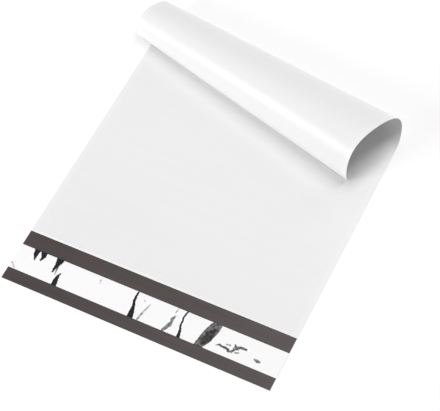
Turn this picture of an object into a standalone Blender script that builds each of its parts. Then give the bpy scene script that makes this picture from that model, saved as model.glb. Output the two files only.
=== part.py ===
"""Poly mailer bag: one folded and side-welded film web, open at the mouth, its closed end rolled over.

Metres, +Z up. The origin is on the underside, at the middle of the mouth line. +X runs across the bag,
+Y from the mouth to the closed end, and the sealing flap lies on the -Y side of the mouth.
"""

import math

import bmesh
import bpy
import numpy as np

# Bag, laid out flat
bag_width = 0.254
bag_length = 0.330
flap_length = 0.050
film = 0.00007
side_weld = 0.003
pocket_air = 0.00015
pocket_ease = 0.010

# Closing strip on the flap, set back from the flap's free edge
strip_setback = 0.0116
liner_width = 0.0239
liner_thickness = 0.00005
adhesive_width = 0.018
adhesive_thickness = 0.00012

# Rolled-over end. The web leaves the table on a line turned by roll_skew against the bottom fold.
# Every straight line of the roll runs through the roll's point, where those two lines meet.
rolled_middle = 0.1142
roll_skew = math.radians(12.3)
landing_gap = 0.0003

# How hard the rolled web bends: (share of the rolled web, radians for each whole rolled web)
bend_profile = (
    (0.00, 0.7),
    (0.14, 9.0),
    (0.29, 9.0),
    (0.43, 1.4),
    (0.57, 2.5),
    (0.71, 7.5),
    (0.86, 2.8),
    (1.00, 2.3),
)

# Fineness of the roll, and the angle past which an edge of the film looks sharp
roll_rows = 60
steps_per_row = 8
sharp_angle = math.radians(40.0)

# Worked out from the above
plies = 2.0 * film
half_width = bag_width / 2.0
point_distance = rolled_middle / math.tan(roll_skew)
roll_point = np.array([-point_distance, bag_length, 0.0])


def remove_start_objects():
    for thing in list(bpy.data.objects):
        bpy.data.objects.remove(thing, do_unlink=True)


def make_material(name, colour, roughness):
    material = bpy.data.materials.new(name)
    material.use_nodes = True
    shader = material.node_tree.nodes["Principled BSDF"]
    shader.inputs["Base Color"].default_value = (*colour, 1.0)
    shader.inputs["Roughness"].default_value = roughness
    shader.inputs["Metallic"].default_value = 0.0
    return material


def make_object(name, mesh, material, height=0.0):
    """A named object from a bmesh, standing at a height above the table."""
    bmesh.ops.recalc_face_normals(mesh, faces=mesh.faces)
    data = bpy.data.meshes.new(name)
    mesh.to_mesh(data)
    mesh.free()
    data.materials.append(material)
    thing = bpy.data.objects.new(name, data)
    thing.location.z = height
    bpy.context.scene.collection.objects.link(thing)
    return thing


def turned(vectors, axis, angle):
    """Rows of vectors, turned about a unit axis."""
    along = np.outer(vectors @ axis, axis)
    return along + (vectors - along) * math.cos(angle) + np.cross(axis, vectors) * math.sin(angle)


def roll_section(tightness):
    """The roll's straight lines and its inward normals, as unit vectors in even steps round the roll."""
    count = roll_rows * steps_per_row
    shares, rates = zip(*bend_profile)
    line = (math.cos(roll_skew), -math.sin(roll_skew), 0.0)
    round_it = (math.sin(roll_skew), math.cos(roll_skew), 0.0)
    frame = np.array([line, round_it, (0.0, 0.0, 1.0)])
    frames = [frame]
    for index in range(count):
        bend = tightness * np.interp((index + 0.5) / count, shares, rates) / roll_skew
        spin = frame[2] + bend * frame[0]
        rate = np.linalg.norm(spin)
        frame = turned(frame, spin / rate, rate * roll_skew / count)
        frames.append(frame)
    frames = np.array(frames)
    return frames[:, 0], frames[:, 2]


def landed_section():
    """The roll that brings the bottom fold down to the landing gap above the front panel."""
    loosest, tightest, tries, halvings = 0.3, 2.0, 35, 40
    rise = (plies + pocket_air + landing_gap) / (point_distance - half_width)
    trials = np.linspace(loosest, tightest, tries)
    rises = [roll_section(trial)[0][-1, 2] for trial in trials]
    index = int(np.argmax(rises))
    while rises[index + 1] > rise:
        index += 1
    loose, tight = trials[index], trials[index + 1]
    for _ in range(halvings):
        middle = (loose + tight) / 2.0
        if roll_section(middle)[0][-1, 2] > rise:
            loose = middle
        else:
            tight = middle
    return roll_section(loose)


def web_place(u, v, height, section):
    """World place of a point of the web: u across it, v from the mouth, height above its outer face."""
    arc = roll_skew - math.atan2(bag_length - v, u + point_distance)
    if arc <= 0.0:
        return (u, v, height)
    lines, normals = section
    at = arc / roll_skew * (len(lines) - 1)
    index = min(int(at), len(lines) - 2)
    line, normal = (a[index] + (a[index + 1] - a[index]) * (at - index) for a in (lines, normals))
    reach = math.hypot(u + point_distance, bag_length - v)
    return roll_point + reach * line / np.linalg.norm(line) + height * normal / np.linalg.norm(normal)


def eased(distance):
    """0 at a weld or fold, rising smoothly to 1 where the plies lie free."""
    share = min(max(distance / pocket_ease, 0.0), 1.0)
    return share * share * (3.0 - 2.0 * share)


def air(u, v):
    """Space between the two plies."""
    return pocket_air * eased(half_width - side_weld - abs(u)) * eased(bag_length - film - v)


def column_places():
    """Places across the web where its mesh has a line. The second and the last but one are the welds."""
    weld = half_width - side_weld
    right = [weld - pocket_ease * 2.0, weld - pocket_ease, weld - pocket_ease / 2.0, weld, half_width]
    return [-u for u in reversed(right)] + [0.0] + right


def row_places(columns):
    """Distance from the mouth along each mesh line, from the mouth itself to the bottom fold's shoulder."""
    rows = [[0.0] * len(columns)]
    for index in range(roll_rows):
        slope = math.tan(roll_skew * (1.0 - index / roll_rows))
        rows.append([bag_length - slope * (u + point_distance) for u in columns])
    rows.append([bag_length - film] * len(columns))
    return rows


def skin(mesh, near, far):
    """Faces between two equally long rows of vertices."""
    for corners in zip(near, near[1:], far[1:], far):
        mesh.faces.new(corners)


def film_mesh():
    """The whole web: back panel and flap, front panel, side welds, bottom fold and the open pocket."""
    mesh = bmesh.new()
    columns = column_places()
    section = landed_section()

    def line_of(row, heights):
        return [mesh.verts.new(web_place(u, v, z, section)) for u, v, z in zip(columns, row, heights)]

    def level(height):
        return [height] * len(columns)

    # Four layers: under the back ply, on it, under the front ply and on it
    layers = []
    rows = row_places(columns)
    for row in rows:
        spaces = [air(u, v) for u, v in zip(columns, row)]
        under = line_of(row, level(0.0))
        floor = line_of(row, level(film))
        free = slice(2, -2) if row is not rows[-1] else slice(0, 0)
        ceiling = list(floor)
        for index in range(len(columns))[free]:
            ceiling[index] = mesh.verts.new(web_place(columns[index], row[index], film + spaces[index], section))
        over = line_of(row, [plies + space for space in spaces])
        layers.append((under, floor, ceiling, over))

    for near, far in zip(layers, layers[1:]):
        skin(mesh, near[0], far[0])
        skin(mesh, near[1][1:-1], far[1][1:-1])
        skin(mesh, near[2][1:-1], far[2][1:-1])
        skin(mesh, near[3], far[3])
        for side in (0, -1):
            skin(mesh, [near[i][side] for i in (0, 1, 3)], [far[i][side] for i in (0, 1, 3)])

    # Mouth, flap and bottom fold
    under, floor, ceiling, over = layers[0]
    skin(mesh, ceiling, over)
    flap_under = line_of(level(-flap_length), level(0.0))
    flap_over = line_of(level(-flap_length), level(film))
    skin(mesh, flap_under, under)
    skin(mesh, flap_over, floor)
    skin(mesh, flap_under, flap_over)
    fold_under, fold_floor, _, fold_over = layers[-1]
    fold = line_of(level(bag_length), level(film))
    skin(mesh, fold_under, fold)
    skin(mesh, fold_over, fold)
    for side in (0, -1):
        mesh.faces.new((flap_under[side], under[side], floor[side], flap_over[side]))
        mesh.faces.new((fold_under[side], fold[side], fold_floor[side]))
        mesh.faces.new((fold_floor[side], fold[side], fold_over[side]))
    return mesh


def make_film(material):
    film_object = make_object("mailer_film", film_mesh(), material)
    film_object.data.shade_smooth()
    film_object.data.set_sharp_from_angle(angle=sharp_angle)
    return film_object


def make_strip(name, width, thickness, height, material):
    """A flat strip across the whole flap, on the closing strip's centre line."""
    middle = strip_setback + liner_width / 2.0 - flap_length
    outline = [
        (-half_width, middle - width / 2.0),
        (half_width, middle - width / 2.0),
        (half_width, middle + width / 2.0),
        (-half_width, middle + width / 2.0),
    ]
    mesh = bmesh.new()
    base = mesh.faces.new([mesh.verts.new((x, y, 0.0)) for x, y in outline])
    lifted = bmesh.ops.extrude_face_region(mesh, geom=[base])
    for part in lifted["geom"]:
        if isinstance(part, bmesh.types.BMVert):
            part.co.z = thickness
    return make_object(name, mesh, material, height)


def main():
    remove_start_objects()
    bag = bpy.data.objects.new("mailer_bag", None)
    bpy.context.scene.collection.objects.link(bag)
    pieces = [
        make_film(make_material("white_polyethylene_film", (0.87, 0.87, 0.87), 0.38)),
        make_strip("adhesive_strip", adhesive_width, adhesive_thickness, film,
                   make_material("hot_melt_adhesive", (0.62, 0.58, 0.46), 0.30)),
        make_strip("release_liner", liner_width, liner_thickness, film + adhesive_thickness,
                   make_material("siliconised_release_film", (0.84, 0.84, 0.84), 0.12)),
    ]
    for piece in pieces:
        piece.parent = bag


main()
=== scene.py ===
# %% [markdown]
# # A poly mailer bag
# The real bag is one sheet of plastic film. It is folded once across the middle, welded up both
# sides, and left longer at the back so that a flap sticks out past the mouth. Here it lies open on a
# table with its closed end rolled over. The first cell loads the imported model, which fixes the place
# and size of every piece, and all the new pieces are built round it.

# %% Load the fixed model
import math

import bpy
import numpy as np
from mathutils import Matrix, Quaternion, Vector


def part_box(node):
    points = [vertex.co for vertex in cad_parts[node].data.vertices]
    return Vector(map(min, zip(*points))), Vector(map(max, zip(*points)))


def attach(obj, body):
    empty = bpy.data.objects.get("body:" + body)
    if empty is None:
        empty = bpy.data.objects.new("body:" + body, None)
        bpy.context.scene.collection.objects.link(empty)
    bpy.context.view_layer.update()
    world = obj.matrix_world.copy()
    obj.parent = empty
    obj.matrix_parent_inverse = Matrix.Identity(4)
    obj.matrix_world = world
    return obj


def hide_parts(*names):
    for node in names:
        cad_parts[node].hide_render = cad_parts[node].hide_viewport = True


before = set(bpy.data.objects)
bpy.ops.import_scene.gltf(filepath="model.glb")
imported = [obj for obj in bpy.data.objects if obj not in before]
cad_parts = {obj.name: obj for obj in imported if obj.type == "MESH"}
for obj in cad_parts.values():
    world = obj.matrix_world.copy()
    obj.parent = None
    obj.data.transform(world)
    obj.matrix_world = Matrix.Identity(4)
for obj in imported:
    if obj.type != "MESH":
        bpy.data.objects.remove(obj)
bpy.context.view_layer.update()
print("solids:", sorted(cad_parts))

# %% [markdown]
# ## The film, laid out flat
# On the machine the bag is a flat sheet before it is folded: flap, back panel and front panel in one
# row. It could be made as separate panels joined later, but then the fold and the grain of the film
# would have seams. One grid keeps it a single sheet. Its faces are small enough to bend round the
# roll, and a few bisect cuts add edges where the sheet is folded, welded or cut. Its width, its flap
# and its thickness come from the boxes of the solids: the liner is as wide as the bag, and the glue
# lies on one thickness of film. The length is rolled up, so no box gives it, and it is written here.

# %% Flat sheet
glue_low, glue_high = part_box("adhesive_strip")
liner_low, liner_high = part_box("release_liner")
bag_width = liner_high.x - liner_low.x
flap_length = -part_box("mailer_film")[0].y
film = glue_low.z
bag_length = 0.330
side_weld = 0.003

sheet_length = flap_length + 2.0 * bag_length
half_width = bag_width / 2.0
across_steps, along_steps = 80, 355

# Film taken up by the fold on each side of it, and the width over which the edge of the mouth dips
fold_shoulder = 0.0003
lip_width = 0.0016


def flat_grid(name, width, length, middle, across_count, along_count):
    """A flat grid across the bag, its centre line at the given distance from the mouth."""
    bpy.ops.object.select_all(action="DESELECT")
    bpy.ops.mesh.primitive_grid_add(
        x_subdivisions=across_count, y_subdivisions=along_count, size=1.0, location=(0.0, middle, 0.0))
    grid = bpy.context.object
    grid.name = name
    grid.scale = (width, length, 1.0)
    bpy.ops.object.transform_apply(location=True, rotation=True, scale=True)
    return grid


def cut_across(place, direction):
    """A straight cut through the whole flat mesh that is being edited."""
    bpy.ops.mesh.select_all(action="SELECT")
    bpy.ops.mesh.bisect(plane_co=place, plane_no=direction)


sheet_middle = sheet_length / 2.0 - flap_length
sheet = flat_grid("mailer_film_web", bag_width, sheet_length, sheet_middle, across_steps, along_steps)
bpy.ops.object.mode_set(mode="EDIT")
for side in (-1.0, 1.0):
    cut_across((side * (half_width - side_weld), 0.0, 0.0), (1.0, 0.0, 0.0))
    cut_across((0.0, bag_length + side * fold_shoulder, 0.0), (0.0, 1.0, 0.0))
for share in (0.5, 1.0):
    cut_across((0.0, 2.0 * bag_length - share * lip_width, 0.0), (0.0, 1.0, 0.0))
bpy.ops.mesh.select_all(action="SELECT")
bpy.ops.mesh.flip_normals()
bpy.ops.object.mode_set(mode="OBJECT")
print("flat sheet:", len(sheet.data.vertices), "points,", [round(d, 4) for d in sheet.dimensions])

# %% [markdown]
# ## The curve of the roll
# Film bends but hardly stretches, so a rolled sheet keeps one straight line through every point. Here
# all those lines run through one far point, which makes the roll a cone: narrow at one end, wide at
# the other. A curve modifier could wrap the sheet, but it stretches a skewed sheet. Instead a small
# set of three directions is carried round the roll in tiny turns, and each point of the flat sheet
# keeps its distance from the far point, as it does on real film.

# %% Roll lines
# How much film is rolled up along the middle of the bag, and the angle between the bottom fold and
# the line where the film leaves the table
rolled_middle = 0.1142
roll_skew = math.radians(12.3)

# Air between the plies, and how far above the front panel the bottom fold comes down
pocket_air = 0.00015
landing_gap = 0.0003
roll_steps = 480
point_distance = rolled_middle / math.tan(roll_skew)
roll_point = np.array([-point_distance, bag_length, 0.0])

# How hard the sheet bends: (share of the rolled part, radians for each whole rolled part)
bend_profile = (
    (0.00, 0.7), (0.14, 9.0), (0.29, 9.0), (0.43, 1.4),
    (0.57, 2.5), (0.71, 7.5), (0.86, 2.8), (1.00, 2.3))


def turned(vectors, axis, angle):
    """Rows of vectors, turned about a unit axis."""
    along = np.outer(vectors @ axis, axis)
    return along + (vectors - along) * math.cos(angle) + np.cross(axis, vectors) * math.sin(angle)


def roll_section(tightness):
    """The straight lines of the roll and the directions into it, in even steps round it."""
    shares, rates = zip(*bend_profile)
    line = (math.cos(roll_skew), -math.sin(roll_skew), 0.0)
    round_it = (math.sin(roll_skew), math.cos(roll_skew), 0.0)
    directions = [np.array([line, round_it, (0.0, 0.0, 1.0)])]
    for index in range(roll_steps):
        last = directions[-1]
        bend = tightness * np.interp((index + 0.5) / roll_steps, shares, rates) / roll_skew
        spin = last[2] + bend * last[0]
        rate = np.linalg.norm(spin)
        directions.append(turned(last, spin / rate, rate * roll_skew / roll_steps))
    directions = np.array(directions)
    return directions[:, 0], directions[:, 2]


def landed_section():
    """The roll whose last line, the bottom fold, comes down to just above the front panel."""
    loosest, tightest, tries, halvings = 0.3, 2.0, 35, 40
    rise = (2.0 * film + pocket_air + landing_gap) / (point_distance - half_width)
    trials = np.linspace(loosest, tightest, tries)
    rises = [roll_section(trial)[0][-1, 2] for trial in trials]
    index = int(np.argmax(rises))
    while rises[index + 1] > rise:
        index += 1
    loose, tight = trials[index], trials[index + 1]
    for _ in range(halvings):
        middle = (loose + tight) / 2.0
        if roll_section(middle)[0][-1, 2] > rise:
            loose = middle
        else:
            tight = middle
    return roll_section(loose)


roll_lines, roll_inwards = landed_section()
print("bottom fold line points along", [round(float(c), 4) for c in roll_lines[-1]])


def rolled(u, v, height):
    """Places of points of the folded bag: u across, v from the mouth, height above the outer face."""
    arc = roll_skew - np.arctan2(bag_length - v, u + point_distance)
    at = np.clip(arc / roll_skew, 0.0, 1.0) * roll_steps
    steps = np.arange(roll_steps + 1)
    line, inward = (
        np.stack([np.interp(at, steps, vectors[:, axis]) for axis in range(3)], axis=1)
        for vectors in (roll_lines, roll_inwards))
    line /= np.linalg.norm(line, axis=1)[:, None]
    inward /= np.linalg.norm(inward, axis=1)[:, None]
    reach = np.hypot(u + point_distance, bag_length - v)
    curved = roll_point + reach[:, None] * line + height[:, None] * inward
    flat = np.stack([u, v, height], axis=1)
    return np.where((arc > 0.0)[:, None], curved, flat)


# %% [markdown]
# ## Slack in the film
# A new bag looks flat, but light shows that it isn't: the loose plies swell a little between the
# welds, a low ridge lies in front of the roll, and packing has pressed a few soft dents. Cloth
# simulation would give random creases. A few broad hills from cosine waves are steadier, and their
# height can be kept to fractions of a millimetre, as on real film.

# %% Slack
# Metres times this are millimetres
in_mm = 1000.0

# The plies come apart over this width beside a weld or a fold
weld_ease = 0.010

# The front ply swells up to the landed fold within this distance of it
swell_reach = 0.016

# At the mouth the front ply stands a little open
mouth_rise, mouth_reach = 0.00025, 0.006
mean_slack, least_slack = 0.00035, 0.00004

# Share of the landing gap that stays open under the bottom fold
fold_clearance = 0.05

# The ridge in front of the roll, and the share of its height that is left at the right side
ridge_distance, ridge_spread, ridge_height, ridge_right_share = 0.016, 0.0065, 0.00022, 0.35

# Hills of the front panel: (height, wavelength, seed, stretch across the bag)
panel_hills = ((0.00022, 0.085, 3, 1.6), (0.00007, 0.034, 5, 1.8))

# Soft dents of the front panel: (across, from the mouth, radius, depth), in metres
dents = (
    (0.094, 0.028, 0.009, 0.00022),
    (0.078, 0.060, 0.012, 0.00018),
    (0.112, 0.075, 0.008, 0.00024),
    (0.040, 0.045, 0.014, 0.00016),
    (-0.060, 0.110, 0.016, 0.00014),
)


def hills(u, v, wavelength, seed, stretch=1.0):
    """Soft hills, mostly between -1 and 1. stretch makes them longer across the bag."""
    draw = np.random.default_rng(seed)
    waves, shortest, longest = 14, 0.75, 1.5
    total = np.zeros_like(u)
    for _ in range(waves):
        heading, start = draw.uniform(0.0, math.tau, 2)
        pitch = math.tau / (wavelength * draw.uniform(shortest, longest))
        total += np.cos(pitch * (u / stretch * math.cos(heading) + v * math.sin(heading)) + start)
    return total / math.sqrt(waves)


def eased(distance, width):
    """0 up to a distance of 0, rising smoothly to 1 at a distance of one width."""
    share = np.clip(distance / width, 0.0, 1.0)
    return share * share * (3.0 - 2.0 * share)


def landing_distance(u, v):
    """How far in front of the landed bottom fold a point of the flat front panel lies."""
    heading = roll_lines[-1][:2] / np.linalg.norm(roll_lines[-1][:2])
    return (u - roll_point[0]) * heading[1] - (v - roll_point[1]) * heading[0]


def front_slack(u, v):
    """Height of the front ply over the back ply."""
    free = eased(half_width - side_weld - np.abs(u), weld_ease)
    free *= eased(bag_length - fold_shoulder - v, weld_ease)
    in_front = landing_distance(u, v)
    slack = np.full_like(u, mean_slack)
    for hill_height, wavelength, seed, stretch in panel_hills:
        slack += hill_height * hills(u, v, wavelength, seed, stretch)
    fade = ridge_right_share + (1.0 - ridge_right_share) * eased(half_width - u, bag_width)
    slack += ridge_height * fade * np.exp(-((in_front - ridge_distance) / ridge_spread) ** 2)
    slack += mouth_rise * np.exp(-(v / mouth_reach) ** 2)
    for across, up, radius, depth in dents:
        slack -= depth * np.exp(-((u - across) ** 2 + (v - up) ** 2) / radius ** 2)
    touch = landing_gap * np.hypot(u + point_distance, bag_length - v) / (point_distance - half_width)
    under_fold = pocket_air + touch * (1.0 - fold_clearance)
    near = np.exp(-(in_front / swell_reach) ** 2)
    slack = np.maximum(slack, least_slack)
    return (slack * (1.0 - near) + near * under_fold) * free


print("slack: around", round(mean_slack * in_mm, 2), "mm, with", len(dents), "dents")

# %% [markdown]
# ## Marks that handling leaves on the roll
# Thin film keeps a trace of every hand. The roll has shallow waves, a faint crease near its wide end,
# slight crumples on its back wall, and a bottom fold that curls under. These could be sculpted on the
# finished roll, but there they would be hard to place. Here each is a small height above the flat
# sheet, the same for both plies, and the roll then carries it round.

# %% Waves, crease and crumples
wave_height, wave_length, wave_seed, wave_stretch = 0.00018, 0.060, 11, 3.0

# The crease runs beside the bottom fold, and comes in over this distance from the middle of the bag
crease_from_fold, crease_width, crease_depth, crease_start = 0.0300, 0.0022, 0.00004, 0.060

# The crumples reach this far in from the wide end
crumple_depth, crumple_reach = 0.00025, 0.070
crumple_length, crumple_seed, crumple_stretch = 0.022, 17, 0.6

# The bottom fold curls under over this width, by this much
tuck_width, tuck_depth = 0.005, 0.0008

# Shares of the way round the roll: where the waves reach full height, and where its back wall lies
waves_full = 0.4
wall_rise, wall_end, wall_fall = 0.12, 0.34, 0.16


def mesh_points(thing):
    """The place of each point of a mesh, one row each."""
    flat = np.zeros(len(thing.data.vertices) * 3)
    thing.data.vertices.foreach_get("co", flat)
    return flat.reshape(-1, 3)


across, along = mesh_points(sheet)[:, :2].T
is_front = along > bag_length
from_mouth = np.where(is_front, 2.0 * bag_length - along, along)
from_fold = bag_length - from_mouth

roll_depth = roll_skew - np.arctan2(from_fold, across + point_distance)
round_share = np.clip(roll_depth / roll_skew, 0.0, 1.0)
waves = wave_height * hills(across, from_mouth, wave_length, wave_seed, wave_stretch)
crease = crease_depth * np.exp(-((from_fold - crease_from_fold) / crease_width) ** 2)
wide_end = 1.0 - eased(half_width - across, crumple_reach)
back_wall = eased(round_share, wall_rise) * (1.0 - eased(round_share - wall_end, wall_fall))
crumples = crumple_depth * hills(across, from_mouth, crumple_length, crumple_seed, crumple_stretch)
both_plies = (waves + crease * eased(across, crease_start)) * eased(roll_depth, waves_full * roll_skew)
both_plies += crumples * wide_end * back_wall
both_plies += tuck_depth * (1.0 - eased(from_fold, tuck_width))
mark_range = [round(float(h) * in_mm, 2) for h in (both_plies.min(), both_plies.max())]
print("waves, crease, crumples and tuck:", mark_range, "mm")

# %% [markdown]
# ## Fold and roll the sheet
# Folding by hand would mean turning the front panel over with a rotate operator and then bending it,
# and each step would add its own small error. The flat sheet already knows how far each point is from
# the mouth, so one pass puts every point in its folded and rolled place. The edge of the mouth dips to
# the panel below it. The bottom fold lies on the panel in the middle and stands a little off it at
# both ends, as stiff film does.

# %% Fold and roll
# Share of the slack by which the edge of the mouth dips
lip_dip = 0.85

# How far the landed fold is let down, how much higher its ends stay, and over what width
fold_drop, end_lift, settle_reach = 0.00014, 0.0004, 0.010

# Each ply is placed by the middle of its thickness
back_middle, fold_middle, front_middle = 0.5 * film, film, 1.5 * film

nose = 1.0 - eased(np.abs(along - bag_length), fold_shoulder)
lip = eased(along - (2.0 * bag_length - lip_width), lip_width)
front_height = front_middle + front_slack(across, from_mouth) * (1.0 - lip_dip * lip)
height = np.where(is_front, front_height, back_middle)
height = height * (1.0 - nose) + fold_middle * nose + both_plies

places = rolled(across, from_mouth, height)
near_fold = 1.0 - eased(from_fold, settle_reach)
places[:, 2] += near_fold * (end_lift * (across / half_width) ** 2 - fold_drop)
places[:, 2] = np.maximum(places[:, 2], back_middle)
sheet.data.vertices.foreach_set("co", places.ravel())
sheet.data.update()
print("folded and rolled:", places.min(axis=0).round(4), places.max(axis=0).round(4))

# %% [markdown]
# ## Three small helpers
# Operators act on whatever is selected, so each piece starts from an empty selection. A colour is
# written as the hex value that a colour picker shows, which is sRGB, while shaders count in linear
# light, so one function turns the one into the other. And a node tree reads best when each node is one
# call with its settings and what feeds it.

# %% Helpers
# Where a Mix node that mixes colours has its factor, its two colours and its result
mix_factor, mix_first, mix_second, mix_colour = 0, 6, 7, 2


def select_only(thing):
    """Select one object and make it the active one."""
    bpy.ops.object.select_all(action="DESELECT")
    thing.select_set(True)
    bpy.context.view_layer.objects.active = thing


def linear(hex_colour):
    """A linear RGBA colour from an sRGB hex value such as 'EFEFEF'."""
    shares = [int(hex_colour[i:i + 2], 16) / 255.0 for i in (0, 2, 4)]
    return (*[s / 12.92 if s <= 0.04045 else ((s + 0.055) / 1.055) ** 2.4 for s in shares], 1.0)


def add_node(tree, kind, settings=None, inputs=None):
    """One node. Each input is a plain value, or the output socket that feeds it."""
    node = tree.nodes.new(kind)
    for name, value in (settings or {}).items():
        setattr(node, name, value)
    for name, value in (inputs or {}).items():
        if isinstance(value, bpy.types.NodeSocket):
            tree.links.new(value, node.inputs[name])
        else:
            node.inputs[name].default_value = value
    return node


print("a hex EFEFEF is", round(linear("EFEFEF")[0], 3), "in linear light")

# %% [markdown]
# ## Patterns on the film
# The die that the film is pressed through leaves faint lines, which run across the bag. A pattern could
# be placed in space, but it would then cut through the roll. The sheet was flat when it got its UV map,
# so a pattern on that map follows the film round every fold. The map runs from 0 to 1, and each scale
# turns it into millimetres of film. Two masks find the welded sides and the cut mouth, where a paler
# colour is painted on as a highlight, for the little more light that the film catches there.

# %% Film patterns
# Most of a noise pattern lies between these two values
noise_low, noise_high = 0.35, 0.65


def sheet_map(tree):
    """Where on the flat sheet a point is: X across it and Y along it, both from 0 to 1."""
    return add_node(tree, "ShaderNodeUVMap", {"uv_map": sheet.data.uv_layers[0].name})


def film_grain(tree, line_pitch, line_length):
    """Noise in millimetres of film, drawn out along the lines that the die leaves."""
    scaled = add_node(tree, "ShaderNodeMapping", {}, {
        "Vector": sheet_map(tree).outputs["UV"],
        "Scale": (bag_width * in_mm / line_length, sheet_length * in_mm / line_pitch, 1.0)})
    return add_node(tree, "ShaderNodeTexNoise", {"noise_dimensions": "2D"}, {
        "Vector": scaled.outputs["Vector"], "Scale": 1.0, "Detail": 3.0, "Roughness": 0.55})


def colour_between(tree, noise, first, second):
    """Two colours, mixed by a noise pattern."""
    spread = add_node(tree, "ShaderNodeMapRange", {}, {
        "Value": noise, "From Min": noise_low, "From Max": noise_high})
    return add_node(tree, "ShaderNodeMix", {"data_type": "RGBA"}, {
        mix_factor: spread.outputs["Result"], mix_first: linear(first), mix_second: linear(second)})


def near_side_edges(tree, width, softness, strength):
    """The strength within a width of either side edge of the bag, and 0 further in."""
    parts = add_node(tree, "ShaderNodeSeparateXYZ", {}, {"Vector": sheet_map(tree).outputs["UV"]})
    from_middle = add_node(tree, "ShaderNodeMath", {"operation": "SUBTRACT"}, {
        0: parts.outputs["X"], 1: 0.5})
    size = add_node(tree, "ShaderNodeMath", {"operation": "ABSOLUTE"}, {0: from_middle.outputs["Value"]})
    edge = 0.5 - width / bag_width
    return add_node(tree, "ShaderNodeMapRange", {"interpolation_type": "SMOOTHSTEP"}, {
        "Value": size.outputs["Value"], "From Min": edge - softness / bag_width, "From Max": edge,
        "To Max": strength})


def near_mouth_edge(tree, width, softness):
    """1 within a width of the front panel's cut edge, which is the mouth, and 0 elsewhere."""
    parts = add_node(tree, "ShaderNodeSeparateXYZ", {}, {"Vector": sheet_map(tree).outputs["UV"]})
    start = 1.0 - width / sheet_length
    return add_node(tree, "ShaderNodeMapRange", {"interpolation_type": "SMOOTHSTEP"}, {
        "Value": parts.outputs["Y"], "From Min": start - softness / sheet_length, "From Max": start})


# %% [markdown]
# ## Materials of the film
# Mailer film is co-extruded polyethylene: two melts leave one slot die together and set as one film.
# The outer one is filled with titanium white, which gives a soft even white with a dull gloss. The
# inner one is dark so that nothing shows through, and the cut edge shows a little of both. All three
# are the same kind of surface, so one function makes them from a few values: two close colours that
# the die lines vary between, a paler painted highlight for the edges, the gloss, and the size of the
# lines in millimetres. Broad clouds of haze, from the cold roller that sets the film, vary the gloss.

# %% Film materials
# A painted highlight: paler bands along the sides, and the same at the mouth
edge_highlight_width, edge_highlight_softness, edge_highlight_strength = 0.0036, 0.0020, 0.4
mouth_highlight_softness = 0.3 * lip_width

# Clouds of haze: their size along the bag and across it, in millimetres, and how much gloss they take
cloud_pitch, cloud_length, cloud_depth = 40.0, 90.0, 0.04


def make_film_material(name, first, second, highlight_colour, roughness, line_pitch, line_length, line_depth):
    """Co-extruded polyethylene: soft gloss, die lines as a shallow bump, a painted highlight on its edges."""
    material = bpy.data.materials.new(name)
    material.use_nodes = True
    tree = material.node_tree
    shader = tree.nodes["Principled BSDF"]
    shader.inputs["IOR"].default_value = 1.51
    cloud = film_grain(tree, cloud_pitch, cloud_length)
    lines = film_grain(tree, line_pitch, line_length)
    tint = colour_between(tree, lines.outputs["Fac"], first, second)
    # The paler edge colour is a painted highlight along the side edges and the mouth
    side = near_side_edges(tree, edge_highlight_width, edge_highlight_softness, edge_highlight_strength)
    mouth = near_mouth_edge(tree, lip_width, mouth_highlight_softness)
    edge_highlight_mask = add_node(tree, "ShaderNodeMath", {"operation": "MAXIMUM"}, {
        0: side.outputs["Result"], 1: mouth.outputs["Result"]})
    with_edge_highlight = add_node(tree, "ShaderNodeMix", {"data_type": "RGBA"}, {
        mix_factor: edge_highlight_mask.outputs["Value"], mix_first: tint.outputs[mix_colour], mix_second: linear(highlight_colour)})
    tree.links.new(with_edge_highlight.outputs[mix_colour], shader.inputs["Base Color"])
    haze = add_node(tree, "ShaderNodeMapRange", {}, {
        "Value": cloud.outputs["Fac"], "From Min": 0.3, "From Max": 0.7,
        "To Min": roughness - cloud_depth, "To Max": roughness + cloud_depth})
    tree.links.new(haze.outputs["Result"], shader.inputs["Roughness"])
    bump = add_node(tree, "ShaderNodeBump", {}, {
        "Height": lines.outputs["Fac"], "Strength": 1.0, "Distance": line_depth})
    tree.links.new(bump.outputs["Normal"], shader.inputs["Normal"])
    return material


# The third colour of each film is its painted edge highlight
white_outside = make_film_material(
    "white_polyethylene_film", first="EDEDED", second="EEEEEE", highlight_colour="F3F3F3",
    roughness=0.43, line_pitch=5.0, line_length=160.0, line_depth=0.0000012)
dark_inside = make_film_material(
    "dark_polyethylene_layer", first="433C3B", second="4C4040", highlight_colour="4A4140",
    roughness=0.42, line_pitch=2.2, line_length=70.0, line_depth=0.000008)
cut_edge = make_film_material(
    "cut_polyethylene_edge", first="DAD8D8", second="E2E0E0", highlight_colour="E0DEDE",
    roughness=0.50, line_pitch=2.0, line_length=20.0, line_depth=0.000002)
for material in (white_outside, dark_inside, cut_edge):
    sheet.data.materials.append(material)
print("film materials:", [material.name for material in sheet.data.materials])

# %% [markdown]
# ## Give the film its thickness
# The film is 0.07 mm thick. A Solidify modifier gives it two faces and a cut edge, and it can hand the
# inner face and the edge to the next materials in the list, which suits a film that is white outside
# and dark inside. The modifier is applied, so that the mesh is complete by itself.

# %% Thickness
film_corner = math.radians(50.0)
select_only(sheet)
thickness = sheet.modifiers.new("film thickness", "SOLIDIFY")
thickness.thickness = film
thickness.offset = 0.0
thickness.use_rim = True
thickness.material_offset = 1
thickness.material_offset_rim = 2
bpy.ops.object.modifier_apply(modifier=thickness.name)
bpy.ops.object.shade_smooth_by_angle(angle=film_corner)
print("film:", len(sheet.data.polygons), "faces,", len(sheet.data.materials), "materials")

# %% [markdown]
# ## The adhesive bead
# Under the liner lies a flat bead of hot-melt glue, laid on the flap as it runs through the machine.
# It could stay a flat box, but glue that sets from a melt has a domed top and a slightly wavy edge.
# It is a fine grid, lifted in the middle, with a wall of its own.

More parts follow.
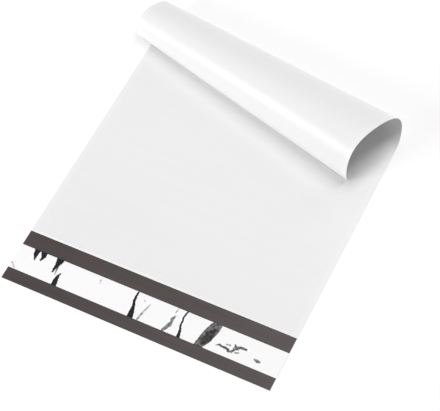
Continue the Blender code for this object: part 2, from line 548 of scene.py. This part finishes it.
# %% Adhesive bead
adhesive_width = glue_high.y - glue_low.y
adhesive_thickness = glue_high.z - glue_low.z
strip_middle = (glue_low.y + glue_high.y) / 2.0
bead_across_steps, bead_along_steps = 160, 12

# The wavy edge: height and length of its waves, their seed, and how far they reach inwards
ripple_height, ripple_length, ripple_seed, ripple_reach = 0.0002, 0.012, 21, 0.003

# Shares of the glue's thickness: height at the edge, what the middle adds, and the bead's own wall
edge_share, dome_share, bead_wall_share = 0.45, 0.45, 0.4
dome_shoulder = 0.0025

bead = flat_grid(
    "adhesive_bead", bag_width, adhesive_width, strip_middle, bead_across_steps, bead_along_steps)
bead_points = mesh_points(bead)
off_middle = bead_points[:, 1] - strip_middle
edge_distance = adhesive_width / 2.0 - np.abs(off_middle)
ripple = ripple_height * hills(bead_points[:, 0], bead_points[:, 1] * 0.0, ripple_length, ripple_seed)
bead_points[:, 1] += ripple * (1.0 - eased(edge_distance, ripple_reach)) * np.sign(off_middle)
dome = edge_share + dome_share * eased(edge_distance, dome_shoulder)
bead_points[:, 2] = film + adhesive_thickness * dome
bead.data.vertices.foreach_set("co", bead_points.ravel())
select_only(bead)
wall = bead.modifiers.new("bead body", "SOLIDIFY")
wall.thickness = adhesive_thickness * bead_wall_share
wall.offset = -1.0
bpy.ops.object.modifier_apply(modifier=wall.name)
bpy.ops.object.shade_smooth_by_angle(angle=film_corner)
print("bead:", [round(float(d) * in_mm, 2) for d in bead.dimensions], "mm")

# %% [markdown]
# ## The glue's material
# Glue for such flaps is a rubber-based hot melt that never dries. It is clear amber and looks wet, and
# the roller that lays it on leaves tiny hills. One noise pattern draws both the hills and the small
# changes in colour, because the glue looks darker where it is thicker.

# %% Adhesive material
# Hills in a metre of glue, so that there is one about every 1.4 mm
glue_hills = 700.0
glue_hill_height = 0.00002


def make_adhesive():
    """Rubber-based hot melt: clear amber, wet-looking, with tiny hills where it was rolled on."""
    material = bpy.data.materials.new("hot_melt_adhesive")
    material.use_nodes = True
    tree = material.node_tree
    shader = tree.nodes["Principled BSDF"]
    shader.inputs["IOR"].default_value = 1.50
    shader.inputs["Roughness"].default_value = 0.22
    place = add_node(tree, "ShaderNodeTexCoord")
    grain = add_node(tree, "ShaderNodeTexNoise", {}, {
        "Vector": place.outputs["Object"], "Scale": glue_hills, "Detail": 2.0})
    tint = colour_between(tree, grain.outputs["Fac"], "C4B68C", "D3C8A4")
    tree.links.new(tint.outputs[mix_colour], shader.inputs["Base Color"])
    bump = add_node(tree, "ShaderNodeBump", {}, {
        "Height": grain.outputs["Fac"], "Distance": glue_hill_height})
    tree.links.new(bump.outputs["Normal"], shader.inputs["Normal"])
    return material


bead.data.materials.append(make_adhesive())
print("glue material:", bead.data.materials[0].name)

# %% [markdown]
# ## Wrinkles of the release liner
# A strip of clear siliconised film covers the glue until the bag is closed. Where a wrinkle tips it
# away or lifts it, the dark film below shows through as a ragged mark in the white that it mirrors.
# That white is a painted reflection, and each mark is drawn as a gap in it. A noise pattern could
# draw such marks, but not where the real strip has them. Here the wrinkles are strokes: each is a
# short line with a width at every point.

# %% Liner strokes
# Each stroke: darkness from 0 to 1, the share of the painted reflection that it takes away,
# then points (across, from the mouth, half width), in millimetres
wrinkles = (
    (0.30, ((-127.0, -33.2, 0.5), (-124.3, -34.9, 0.6), (-121.8, -37.2, 0.5))),
    (1.00, ((-111.0, -14.0, 3.0), (-110.8, -18.0, 2.2), (-110.0, -21.5, 1.2), (-109.3, -23.8, 0.5))),
    (1.00, ((-104.4, -14.0, 3.2), (-103.4, -17.6, 2.2), (-103.4, -20.0, 1.2), (-104.2, -22.2, 0.7))),
    (1.00, ((-88.0, -13.5, 3.8), (-88.0, -17.0, 3.0), (-88.2, -20.5, 2.0), (-88.9, -25.0, 1.1),
            (-88.8, -28.0, 0.5))),
    (0.60, ((-86.6, -21.5, 0.5), (-86.4, -25.5, 0.5), (-85.8, -28.8, 0.3))),
    (0.95, ((-81.2, -26.4, 0.3), (-82.3, -30.2, 1.3), (-82.3, -34.0, 2.1), (-81.6, -39.0, 2.4))),
    (0.05, ((-46.9, -16.8, 0.5), (-46.1, -20.6, 0.7))),
    (1.00, ((-11.6, -14.0, 0.5), (-11.5, -19.7, 0.9), (-11.2, -23.8, 1.1), (-9.5, -27.5, 1.3),
            (-7.4, -39.0, 2.9))),
    (0.06, ((-5.0, -16.5, 0.4), (-2.4, -21.0, 0.5))),
    (0.40, ((2.7, -21.7, 0.4), (0.8, -29.0, 0.8), (-1.0, -37.4, 0.8))),
    (0.28, ((26.3, -14.6, 0.5), (25.8, -19.8, 0.5))),
    (0.50, ((27.3, -21.8, 0.5), (26.0, -26.0, 1.5), (26.8, -28.6, 0.9), (26.2, -31.0, 1.9),
            (23.2, -37.4, 1.3))),
    (0.92, ((35.0, -14.0, 0.7), (34.0, -20.6, 0.8), (34.7, -23.6, 0.7), (35.0, -28.5, 0.8),
            (36.8, -32.5, 1.1), (38.0, -39.0, 1.5))),
    (0.62, ((63.6, -13.0, 3.6), (62.0, -18.5, 5.0), (60.2, -25.0, 5.3), (58.6, -31.0, 4.9),
            (55.8, -39.0, 3.6))),
    (0.80, ((63.0, -20.6, 1.8), (61.4, -25.0, 3.6), (60.6, -29.5, 3.9), (58.4, -35.0, 2.2))),
    (0.62, ((69.6, -31.9, 0.4), (71.9, -30.5, 0.9), (74.4, -31.2, 0.8))),
    (0.66, ((74.8, -31.1, 0.7), (77.6, -31.0, 1.1), (80.6, -31.6, 0.9))),
    (0.40, ((77.2, -28.0, 0.5), (80.6, -27.4, 0.5))),
    (0.60, ((80.6, -33.2, 0.7), (83.6, -32.2, 1.1), (85.6, -29.4, 0.8))),
    (0.56, ((84.0, -25.4, 0.6), (85.2, -27.2, 1.0), (86.6, -28.4, 0.9))),
    (0.62, ((87.4, -26.6, 1.0), (90.2, -25.8, 1.2), (94.4, -25.9, 0.8))),
    (0.48, ((84.2, -29.0, 0.8), (88.0, -28.4, 0.7))),
    (0.46, ((86.6, -31.8, 0.4), (89.6, -31.0, 0.6))),
    (0.46, ((104.0, -30.8, 0.9), (106.3, -31.2, 1.4), (108.8, -31.4, 0.9))),
)


def stroke_edge(points_mm, stroke):
    """Distance from the edge of a stroke in millimetres, above 0 inside it."""
    best = np.full(len(points_mm), -np.inf)
    for (x0, y0, r0), (x1, y1, r1) in zip(stroke, stroke[1:]):
        run = np.array([x1 - x0, y1 - y0])
        share = np.clip((points_mm - (x0, y0)) @ run / (run @ run), 0.0, 1.0)
        gap = np.linalg.norm(points_mm - (x0, y0) - share[:, None] * run, axis=1)
        best = np.maximum(best, r0 + (r1 - r0) * share - gap)
    return best


print("wrinkles:", len(wrinkles), "strokes, darkest", max(darkness for darkness, _ in wrinkles))

# %% [markdown]
# ## From strokes to the mesh
# The strokes could be cut into the mesh as faces of their own, but a mark has a frayed edge that is
# finer than any face. So the mesh keeps an even grid, and each of its points stores how far inside a
# mark it is and how dark that mark is. The material reads both and draws the edge. Where strokes
# cross, the darker one wins.

# %% Marks on the liner
liner_width = liner_high.y - liner_low.y
liner_across_steps, liner_along_steps = 508, 46

# In millimetres: how far outside a mark its edge is still measured, and half the width of a soft edge
edge_reach = 3.0
soft_edge = 0.4

liner = flat_grid(
    "release_liner_film", bag_width, liner_width, strip_middle, liner_across_steps, liner_along_steps)
liner_points = mesh_points(liner)
flat_mm = liner_points[:, :2] * in_mm
mark_edge = np.full(len(flat_mm), -edge_reach)
mark_darkness = np.zeros(len(flat_mm))
darkest_inside = np.zeros(len(flat_mm))
lift = np.zeros(len(flat_mm))
for darkness, stroke in wrinkles:
    edge = stroke_edge(flat_mm, stroke)
    mark_darkness = np.where(edge > mark_edge, darkness, mark_darkness)
    mark_edge = np.maximum(mark_edge, edge)
    inside = np.clip((edge + soft_edge) / (2.0 * soft_edge), 0.0, 1.0)
    darkest_inside = np.maximum(darkest_inside, darkness * inside)
    lift = np.maximum(lift, darkness * np.exp(-np.square(np.minimum(edge - soft_edge, 0.0))))
mark_darkness = np.maximum(mark_darkness, darkest_inside)
for name, values in (("mark_edge", mark_edge), ("mark_darkness", mark_darkness)):
    attribute = liner.data.attributes.new(name, "FLOAT", "POINT")
    attribute.data.foreach_set("value", values.astype(np.float32))
print("inside a mark:", round(float((mark_edge > 0.0).mean()) * 100.0, 1), "% of the liner")

# %% [markdown]
# ## The liner's body
# The liner rests on the bead and drops to the flap beyond the bead's edges. Its wrinkles stand a
# fraction of a millimetre proud. Cloth could find this shape too, but a height for each point gives it
# straight away, and then a Solidify modifier adds the two faces and the cut edge.

# %% Liner drape
liner_thickness = liner_high.z - liner_low.z

# How far the darkest wrinkles stand up
crest = 0.00028

# Beyond the bead the liner falls by this share of the glue's thickness, within this distance
drop_share, drop_reach = 0.85, 0.0022

# Slight waves all over: height, length and seed
breath_height, breath_length, breath_seed = 0.00003, 0.016, 31

overhang = np.abs(liner_points[:, 1] - strip_middle) - adhesive_width / 2.0
rest = adhesive_thickness * (1.0 - drop_share * eased(overhang, drop_reach))
breath = breath_height * (1.0 + hills(liner_points[:, 0], liner_points[:, 1], breath_length, breath_seed))
liner_points[:, 2] = film + rest + liner_thickness / 2.0 + np.maximum(breath, 0.0) + crest * lift
liner.data.vertices.foreach_set("co", liner_points.ravel())
select_only(liner)
body = liner.modifiers.new("liner thickness", "SOLIDIFY")
body.thickness = liner_thickness
body.offset = 0.0
bpy.ops.object.modifier_apply(modifier=body.name)
bpy.ops.object.shade_smooth_by_angle(angle=film_corner)
liner_top = round(float(liner_points[:, 2].max()) * in_mm, 2)
print("liner:", len(liner.data.polygons), "faces, highest point", liner_top, "mm")

# %% [markdown]
# ## The liner's material
# The strip is polyester with a skin of silicone that the glue can't grip. It is very glossy, so it
# mirrors the bright room and looks white, and it is dark where a wrinkle lifts it. That white is a
# painted reflection in the colour. The dark could be real glass over dark film, but thin glass renders
# slowly and goes noisy. So the mark is drawn in the colour too: noise frays its edge, more so on dark
# marks, and a coarser noise mottles the faint ones.

# %% Liner material
# Noise features in a metre of liner: at a frayed edge one about every 1.1 mm, in the mottle every 2.4
fray_scale, mottle_scale = 900.0, 420.0

# The faintest and the darkest kind of mark, and how far noise shifts the edge of each, in millimetres
faint, dark = 0.3, 0.9
faint_fray, dark_fray = 0.9, 2.2

# A mark fades in between these distances from its edge, in millimetres
fade_start, fade_end = -0.30, 0.20

# How much the mottle changes the darkness of a faint mark
mottle_depth = 0.40

# A stroke's darkness is typed as the eye sees it, and this power turns it into linear light
eye_power = 2.2


def make_liner():
    """Siliconised polyester: very glossy, a painted white reflection of the room, dark where it lifts."""
    material = bpy.data.materials.new("siliconised_release_film")
    material.use_nodes = True
    tree = material.node_tree
    shader = tree.nodes["Principled BSDF"]
    shader.inputs["IOR"].default_value = 1.48
    shader.inputs["Roughness"].default_value = 0.16
    place = add_node(tree, "ShaderNodeTexCoord")
    edge = add_node(tree, "ShaderNodeAttribute", {"attribute_name": "mark_edge"})
    darkness = add_node(tree, "ShaderNodeAttribute", {"attribute_name": "mark_darkness"})
    ragged = add_node(tree, "ShaderNodeTexNoise", {}, {
        "Vector": place.outputs["Object"], "Scale": fray_scale, "Detail": 3.0, "Roughness": 0.6})
    centred = add_node(tree, "ShaderNodeMath", {"operation": "SUBTRACT"}, {
        0: ragged.outputs["Fac"], 1: 0.5})
    fray = add_node(tree, "ShaderNodeMapRange", {}, {
        "Value": darkness.outputs["Fac"], "From Min": faint, "From Max": dark,
        "To Min": faint_fray, "To Max": dark_fray})
    frayed = add_node(tree, "ShaderNodeMath", {"operation": "MULTIPLY_ADD"}, {
        0: centred.outputs["Value"], 1: fray.outputs["Result"], 2: edge.outputs["Fac"]})
    inside = add_node(tree, "ShaderNodeMapRange", {"interpolation_type": "SMOOTHSTEP"}, {
        "Value": frayed.outputs["Value"], "From Min": fade_start, "From Max": fade_end})
    mottle = add_node(tree, "ShaderNodeTexNoise", {}, {
        "Vector": place.outputs["Object"], "Scale": mottle_scale, "Detail": 4.0, "Roughness": 0.65})
    patchy = add_node(tree, "ShaderNodeMapRange", {}, {
        "Value": mottle.outputs["Fac"], "From Min": noise_low, "From Max": noise_high,
        "To Min": -mottle_depth, "To Max": mottle_depth})
    paleness = add_node(tree, "ShaderNodeMath", {"operation": "SUBTRACT"}, {
        0: 1.0, 1: darkness.outputs["Fac"]})
    varied = add_node(tree, "ShaderNodeMath", {"operation": "MULTIPLY_ADD", "use_clamp": True}, {
        0: patchy.outputs["Result"], 1: paleness.outputs["Value"], 2: darkness.outputs["Fac"]})
    depth = add_node(tree, "ShaderNodeMath", {"operation": "MULTIPLY"}, {
        0: inside.outputs["Result"], 1: varied.outputs["Value"]})
    clear = add_node(tree, "ShaderNodeMath", {"operation": "SUBTRACT"}, {
        0: 1.0, 1: depth.outputs["Value"]})
    painted_reflection_share = add_node(tree, "ShaderNodeMath", {"operation": "POWER"}, {
        0: clear.outputs["Value"], 1: eye_power})
    # The white is a painted reflection of the bright room, and the dark is the film under the liner
    tint = add_node(tree, "ShaderNodeMix", {"data_type": "RGBA"}, {
        mix_factor: painted_reflection_share.outputs["Value"], mix_first: linear("1E1C1C"), mix_second: linear("FDFDFD")})
    tree.links.new(tint.outputs[mix_colour], shader.inputs["Base Color"])
    return material


liner.data.materials.append(make_liner())
print("liner material:", liner.data.materials[0].name)

# %% [markdown]
# ## Tie the new pieces to the model
# Each new piece moves with the body of the solid that it stands for and hides that solid.

# %% Ride and replace
for piece, node, slot in (
        (sheet, "mailer_film", "mailer_film"),
        (bead, "adhesive_strip", "adhesive"),
        (liner, "release_liner", "liner")):
    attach(piece, "root")
    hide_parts(node)
    print(piece.name, "stands for", node)

# %% [markdown]
# ## A white table
# A product photographer puts a white object on white paper and lights both. The paper here gives its
# true light to the bag. Where the camera or a reflection sees it, it is topped up to white, and not
# more, so the shadow still shows on it.

# %% Table
table_size = 8.0
table_drop = 0.00004
paper_top_up = 0.42
bpy.ops.object.select_all(action="DESELECT")
bpy.ops.mesh.primitive_plane_add(size=table_size, location=(0.0, 0.0, -table_drop))
table = bpy.context.object
table.name = "table"


def make_paper():
    """White paper. Where the camera or a mirror sees it, it is topped up to plain white."""
    material = bpy.data.materials.new("white_table_paper")
    material.use_nodes = True
    tree = material.node_tree
    tree.nodes.remove(tree.nodes["Principled BSDF"])
    output = tree.nodes["Material Output"]
    rays = add_node(tree, "ShaderNodeLightPath")
    paper = add_node(tree, "ShaderNodeBsdfDiffuse", {}, {"Color": linear("F2F2F2")})
    seen_paper = add_node(tree, "ShaderNodeBsdfDiffuse", {}, {"Color": linear("CDCDCD")})
    glow = add_node(tree, "ShaderNodeEmission", {}, {"Color": (1.0, 1.0, 1.0, 1.0), "Strength": paper_top_up})
    seen = add_node(tree, "ShaderNodeAddShader", {}, {
        0: seen_paper.outputs["BSDF"], 1: glow.outputs["Emission"]})
    mirrored = add_node(tree, "ShaderNodeMath", {"operation": "MAXIMUM"}, {
        0: rays.outputs["Is Glossy Ray"], 1: rays.outputs["Is Transmission Ray"]})
    direct = add_node(tree, "ShaderNodeMath", {"operation": "MAXIMUM"}, {
        0: rays.outputs["Is Camera Ray"], 1: mirrored.outputs["Value"]})
    either = add_node(tree, "ShaderNodeMixShader", {}, {
        0: direct.outputs["Value"], 1: paper.outputs["BSDF"], 2: seen.outputs["Shader"]})
    tree.links.new(either.outputs["Shader"], output.inputs["Surface"])
    return material


table.data.materials.append(make_paper())
print("table:", table_size, "m square,", table_drop * in_mm, "mm under the bag")

# %% [markdown]
# ## Light
# White on white needs direction more than brightness. An even sky fills the shadows. A broad lamp
# high behind the bag drops the roll's soft shadow onto the front panel, a weak one low behind it
# lights the roll's far side, and one in front brightens the side that faces the camera.

# %% Light
sky_strength = 0.333
bag_middle = Vector((0.0, 0.12, 0.0))

world = bpy.data.worlds.new("even_sky")
bpy.context.scene.world = world
world.use_nodes = True
sky = world.node_tree.nodes["Background"]
sky.inputs["Color"].default_value = (1.0, 1.0, 1.0, 1.0)
sky.inputs["Strength"].default_value = sky_strength


def add_lamp(name, azimuth, elevation, distance, size, watts):
    """A square soft lamp, aimed at the bag. Azimuth 0 is on the mouth's side and 90 on the +X side."""
    turn, rise = math.radians(azimuth), math.radians(elevation)
    way = Vector((math.sin(turn) * math.cos(rise), -math.cos(turn) * math.cos(rise), math.sin(rise)))
    bpy.ops.object.light_add(type="AREA", location=bag_middle + way * distance)
    lamp = bpy.context.object
    lamp.name = name
    lamp.data.size = size
    lamp.data.energy = watts
    lamp.rotation_euler = (-way).to_track_quat("-Z", "Y").to_euler()
    return lamp


lamps = (
    add_lamp("back_softbox", azimuth=160.0, elevation=63.0, distance=2.4, size=1.2, watts=28.5),
    add_lamp("low_back_softbox", azimuth=166.0, elevation=27.0, distance=2.4, size=1.0, watts=8.0),
    add_lamp("front_softbox", azimuth=-41.0, elevation=18.0, distance=2.0, size=1.0, watts=27.5))
print("lamps:", [lamp.name for lamp in lamps])

# %% [markdown]
# ## The camera
# The camera stands in front and to the right, looking down at the bag with a long lens, as for a
# catalogue picture. It also leans a little to its right, so the bag runs across the picture's corner.

# %% Camera
camera_place = Vector((0.4095, -0.4294, 1.0336))
aim = Vector((0.0121, 0.0871, 0.0))
camera_lean = math.radians(12.21)
bpy.ops.object.camera_add(location=camera_place)
camera = bpy.context.object
camera.data.sensor_width = 36.0
camera.data.lens = 116.9
camera.rotation_euler = ((aim - camera_place).to_track_quat("-Z", "Y")
                         @ Quaternion((0.0, 0.0, 1.0), -camera_lean)).to_euler()
bpy.context.scene.camera = camera
bpy.context.scene.view_settings.view_transform = "Standard"
print("camera:", round((aim - camera_place).length, 2), "m from its aim")
